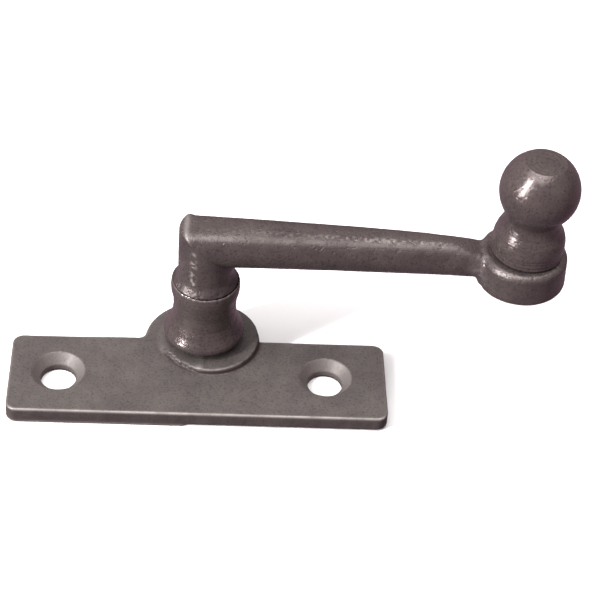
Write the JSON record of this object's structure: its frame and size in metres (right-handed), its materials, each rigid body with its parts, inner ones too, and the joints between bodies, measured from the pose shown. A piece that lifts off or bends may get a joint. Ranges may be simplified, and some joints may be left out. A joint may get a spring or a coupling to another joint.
{
  "type": "casement window fastener",
  "caption": "Crank-shaped window turn fastener: a round arm with a ball knob turns on a riveted spindle in a countersunk strip plate.",
  "frame": {"origin": "centre of the strip's flat rear face, halfway along the strip and halfway across it", "axes": "+X along the strip from the spindle towards the knob, +Y across the strip towards the lobe, +Z away from the window frame"},
  "size_m": [0.0955, 0.0283, 0.0477],
  "materials": {
    "plate_iron": "waxed bare punched iron, satin, faintly mottled",
    "turned_iron": "waxed dark iron with turning marks, satin",
    "forged_iron": "waxed dark forged iron, fine pitted skin, satin",
    "knob_iron": "waxed dark turned iron with lathe rings, satin to semi-gloss",
    "washer_steel": "dull bare steel"
  },
  "bodies": {
    "plate": {"mounting_plate": "plate_iron"},
    "handle": {"crank_arm": "forged_iron", "bell_collar": "turned_iron", "ball_knob": "knob_iron", "rear_washer": "washer_steel"}
  },
  "joints": [
    {"name": "handle_turn", "type": "hinge", "parent": "plate", "child": "handle", "pos_m": [0.0007, 0.00935, 0], "axis": [0, 0, 1], "continuous": true}
  ]
}
